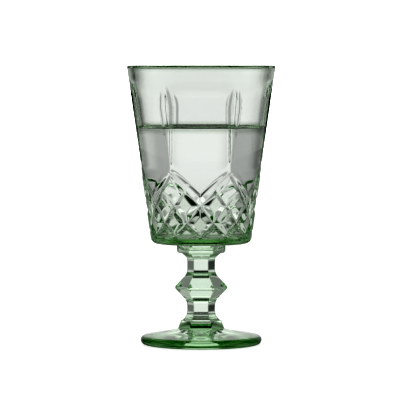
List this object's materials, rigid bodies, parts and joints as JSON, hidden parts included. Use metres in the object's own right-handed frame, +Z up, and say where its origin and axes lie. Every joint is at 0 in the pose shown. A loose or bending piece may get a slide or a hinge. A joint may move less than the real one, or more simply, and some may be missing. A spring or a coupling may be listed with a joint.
{
  "type": "goblet",
  "caption": "Stemmed drinking goblet of pressed green glass: flared bowl with petals above a diamond lattice, six-sided stem with a knop, round foot.",
  "frame": {"origin": "centre of the flat ring under the foot, on the surface the glass stands on", "axes": "+Z up along the axis of the glass; one petal of the bowl and one flat of the six-sided stem face -Y, and two corners of the stem lie along X"},
  "size_m": [0.079, 0.079, 0.148],
  "materials": {
    "green_glass": "clear pale green pressed glass with fire-polished edges, deeper green where it is thick",
    "water": "clear still water"
  },
  "bodies": {
    "root": {"bowl": "green_glass", "stem": "green_glass", "foot": "green_glass"}
  },
  "joints": []
}
